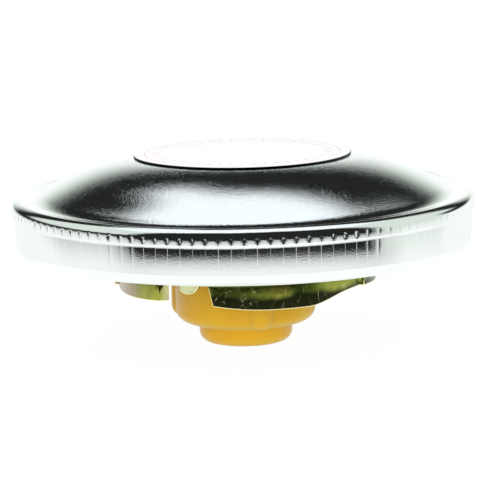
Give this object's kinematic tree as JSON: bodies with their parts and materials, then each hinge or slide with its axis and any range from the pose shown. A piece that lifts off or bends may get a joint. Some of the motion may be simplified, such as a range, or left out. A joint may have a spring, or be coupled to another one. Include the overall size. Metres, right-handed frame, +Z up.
{
  "type": "fuel tank cap",
  "caption": "Round chrome fuel tank cap with a bayonet cam cup, a sprung neck seal and a breather valve in a stepped plastic housing.",
  "frame": {"origin": "centre of the underside of the valve housing's nose, on the axis of the cap", "axes": "+Z up the axis, from the nose to the crown; -Y is the front that the picture shows; +X to the right"},
  "size_m": [0.089, 0.089, 0.0366],
  "materials": {
    "chrome": "bright chrome plate",
    "disc_white": "satin white film",
    "zinc_yellow": "yellow zinc plate",
    "zinc_bright": "bright zinc plate",
    "spring_steel": "oiled spring steel",
    "rubber_black": "moulded nitrile rubber",
    "housing_plastic": "yellow acetal, satin",
    "lid_plastic": "black nylon",
    "valve_brass": "turned brass"
  },
  "bodies": {
    "cap": {"cover": "chrome", "centre_disc": "disc_white", "inner_shell": "zinc_bright", "cam_cup": "zinc_yellow", "rivet_1": "zinc_bright", "rivet_2": "zinc_bright", "rivet_3": "zinc_bright", "rivet_4": "zinc_bright", "spring_disc": "spring_steel", "valve_housing": "housing_plastic", "housing_seal": "rubber_black", "housing_lid": "lid_plastic", "pressure_spring": "spring_steel"},
    "neck_seal": {"seal_carrier": "zinc_bright", "neck_gasket": "rubber_black"},
    "pressure_valve": {"pressure_valve_plate": "valve_brass", "pressure_valve_gasket": "rubber_black", "vacuum_spring": "spring_steel"},
    "vacuum_valve": {"vacuum_valve": "valve_brass", "vacuum_spring_retainer": "valve_brass"}
  },
  "joints": [
    {"name": "seal_lift", "type": "slide", "parent": "cap", "child": "neck_seal", "axis": [0, 0, 1], "range_m": [0, 0.0015], "stiffness_N_per_m": 12000, "springref_m": -0.002, "deforming": ["spring_disc"]},
    {"name": "pressure_lift", "type": "slide", "parent": "cap", "child": "pressure_valve", "axis": [0, 0, 1], "range_m": [0, 0.002], "stiffness_N_per_m": 400, "springref_m": -0.005, "deforming": ["pressure_spring"]},
    {"name": "vacuum_drop", "type": "slide", "parent": "pressure_valve", "child": "vacuum_valve", "axis": [0, 0, -1], "range_m": [0, 0.0015], "stiffness_N_per_m": 120, "springref_m": -0.002, "deforming": ["vacuum_spring"]}
  ]
}
